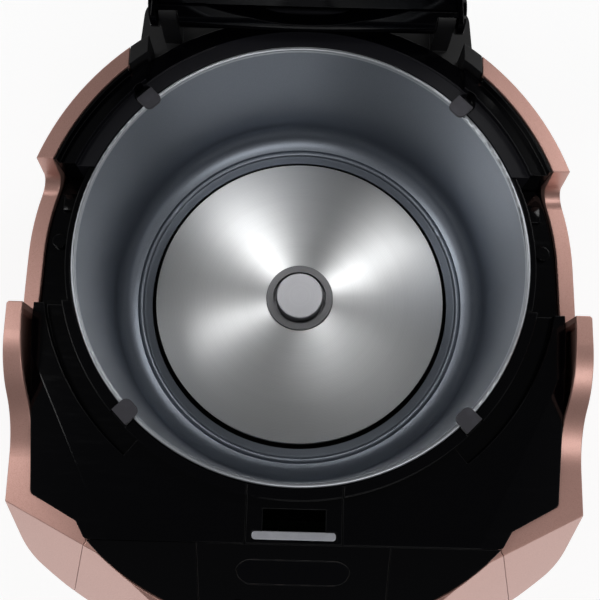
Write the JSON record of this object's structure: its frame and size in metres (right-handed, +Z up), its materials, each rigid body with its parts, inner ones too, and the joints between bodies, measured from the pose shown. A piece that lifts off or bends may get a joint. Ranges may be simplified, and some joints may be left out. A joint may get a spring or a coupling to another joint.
{
  "type": "rice cooker",
  "caption": "Rice cooker with its lid open: round pot well with heating plate and sprung sensor, black deck, rose-gold side panels and a sloping control area.",
  "frame": {"origin": "on the pot well's axis, on the table under the feet; the middle of the box of the whole object with its lid open, to within about two millimetres front to back", "axes": "+Z up, front with the controls towards -Y, the user's right towards +X"},
  "size_m": [0.3, 0.4248, 0.4812],
  "materials": {
    "rose_gold": "satin metallic paint on a moulding",
    "black_gloss": "polished black",
    "deck_black": "polished",
    "ledge_satin": "fine satin texture",
    "black_satin": "fine moulded texture",
    "lens_dark": "polished smoked lens",
    "display_dark": "matte",
    "board_green": "solder mask",
    "well_aluminium": "satin blue-grey",
    "plate_aluminium": "turned with fine circular grooves",
    "sensor_steel": "brushed",
    "sleeve_steel": "dull turned",
    "lid_coating": "dark non-stick coating on aluminium",
    "strike_chrome": "bright plated",
    "zinc_steel": "zinc plated",
    "heater_steel": "dulled by heat",
    "spring_steel": "drawn wire",
    "pin_brass": "bright",
    "pad_silicone": "matte silicone",
    "gasket_silicone": "matte dark silicone",
    "foot_rubber": "matte",
    "fuse_white": "ceramic-filled",
    "core_iron": "varnished laminations",
    "relay_black": "moulded"
  },
  "bodies": {
    "body": {"right_side_panel": "rose_gold", "left_side_panel": "rose_gold", "front_frame": "rose_gold", "rear_cover": "black_satin", "power_inlet": "black_satin", "inlet_pins": "pin_brass", "hinge_pin": "zinc_steel", "hinge_springs": "spring_steel", "left_fascia": "black_gloss", "right_fascia": "black_gloss", "centre_panel": "black_gloss", "display_window": "lens_dark", "display_module": "display_dark", "control_board": "board_green", "pot_well": "well_aluminium", "heating_plate": "plate_aluminium", "heater_element": "heater_steel", "plate_posts": "zinc_steel", "well_legs": "zinc_steel", "side_heater_band": "heater_steel", "heat_shield": "zinc_steel", "sensor_sleeve": "sleeve_steel", "sensor_spring": "spring_steel", "thermal_fuse": "fuse_white", "right_deck": "deck_black", "left_deck": "deck_black", "latch_socket": "deck_black", "recess_trays": "deck_black", "rear_ledge": "ledge_satin", "pot_pads": "pad_silicone", "recess_plugs": "deck_black", "latch_strike": "strike_chrome", "base_plate": "black_satin", "feet": "foot_rubber", "base_screws": "zinc_steel", "power_board": "board_green", "transformer": "core_iron", "relay": "relay_black"},
    "lid": {"lid_cover": "black_gloss", "lid_liner": "black_gloss", "inner_lid": "lid_coating", "inner_lid_gasket": "gasket_silicone", "lid_sensor": "sensor_steel", "steam_valve": "black_satin", "vent_trim": "rose_gold", "lid_screws": "zinc_steel", "latch_spring": "spring_steel"},
    "lid_latch": {"lid_button": "rose_gold", "latch_hook": "zinc_steel"},
    "sensor": {"sensor_cap": "sensor_steel"},
    "key_1": {"key_1": "black_gloss"},
    "key_2": {"key_2": "black_gloss"},
    "key_3": {"key_3": "black_gloss"},
    "key_4": {"key_4": "black_gloss"},
    "key_5": {"key_5": "black_gloss"}
  },
  "joints": [
    {"name": "lid_hinge", "type": "hinge", "parent": "body", "child": "lid", "pos_m": [0, 0.136, 0.194], "axis": [1, 0, 0], "range_deg": [0, 96.5], "stiffness_Nm_per_rad": 0.5},
    {"name": "latch_press", "type": "slide", "parent": "lid", "child": "lid_latch", "axis": [0, -0.1132, -0.9936], "range_m": [0, 0.004], "stiffness_N_per_m": 1200, "springref_m": -0.002, "deforming": ["latch_spring"]},
    {"name": "sensor_press", "type": "slide", "parent": "body", "child": "sensor", "axis": [0, 0, -1], "range_m": [0, 0.005], "stiffness_N_per_m": 600, "springref_m": -0.003, "deforming": ["sensor_spring"]},
    {"name": "key_1_press", "type": "slide", "parent": "body", "child": "key_1", "axis": [0, 0.6428, -0.766], "range_m": [0, 0.001], "stiffness_N_per_m": 1500, "springref_m": -0.0005},
    {"name": "key_2_press", "type": "slide", "parent": "body", "child": "key_2", "axis": [0, 0.6428, -0.766], "range_m": [0, 0.001], "stiffness_N_per_m": 1500, "springref_m": -0.0005},
    {"name": "key_3_press", "type": "slide", "parent": "body", "child": "key_3", "axis": [0, 0.6428, -0.766], "range_m": [0, 0.001], "stiffness_N_per_m": 1500, "springref_m": -0.0005},
    {"name": "key_4_press", "type": "slide", "parent": "body", "child": "key_4", "axis": [0, 0.6428, -0.766], "range_m": [0, 0.001], "stiffness_N_per_m": 1500, "springref_m": -0.0005},
    {"name": "key_5_press", "type": "slide", "parent": "body", "child": "key_5", "axis": [0, 0.6428, -0.766], "range_m": [0, 0.001], "stiffness_N_per_m": 1500, "springref_m": -0.0005}
  ]
}
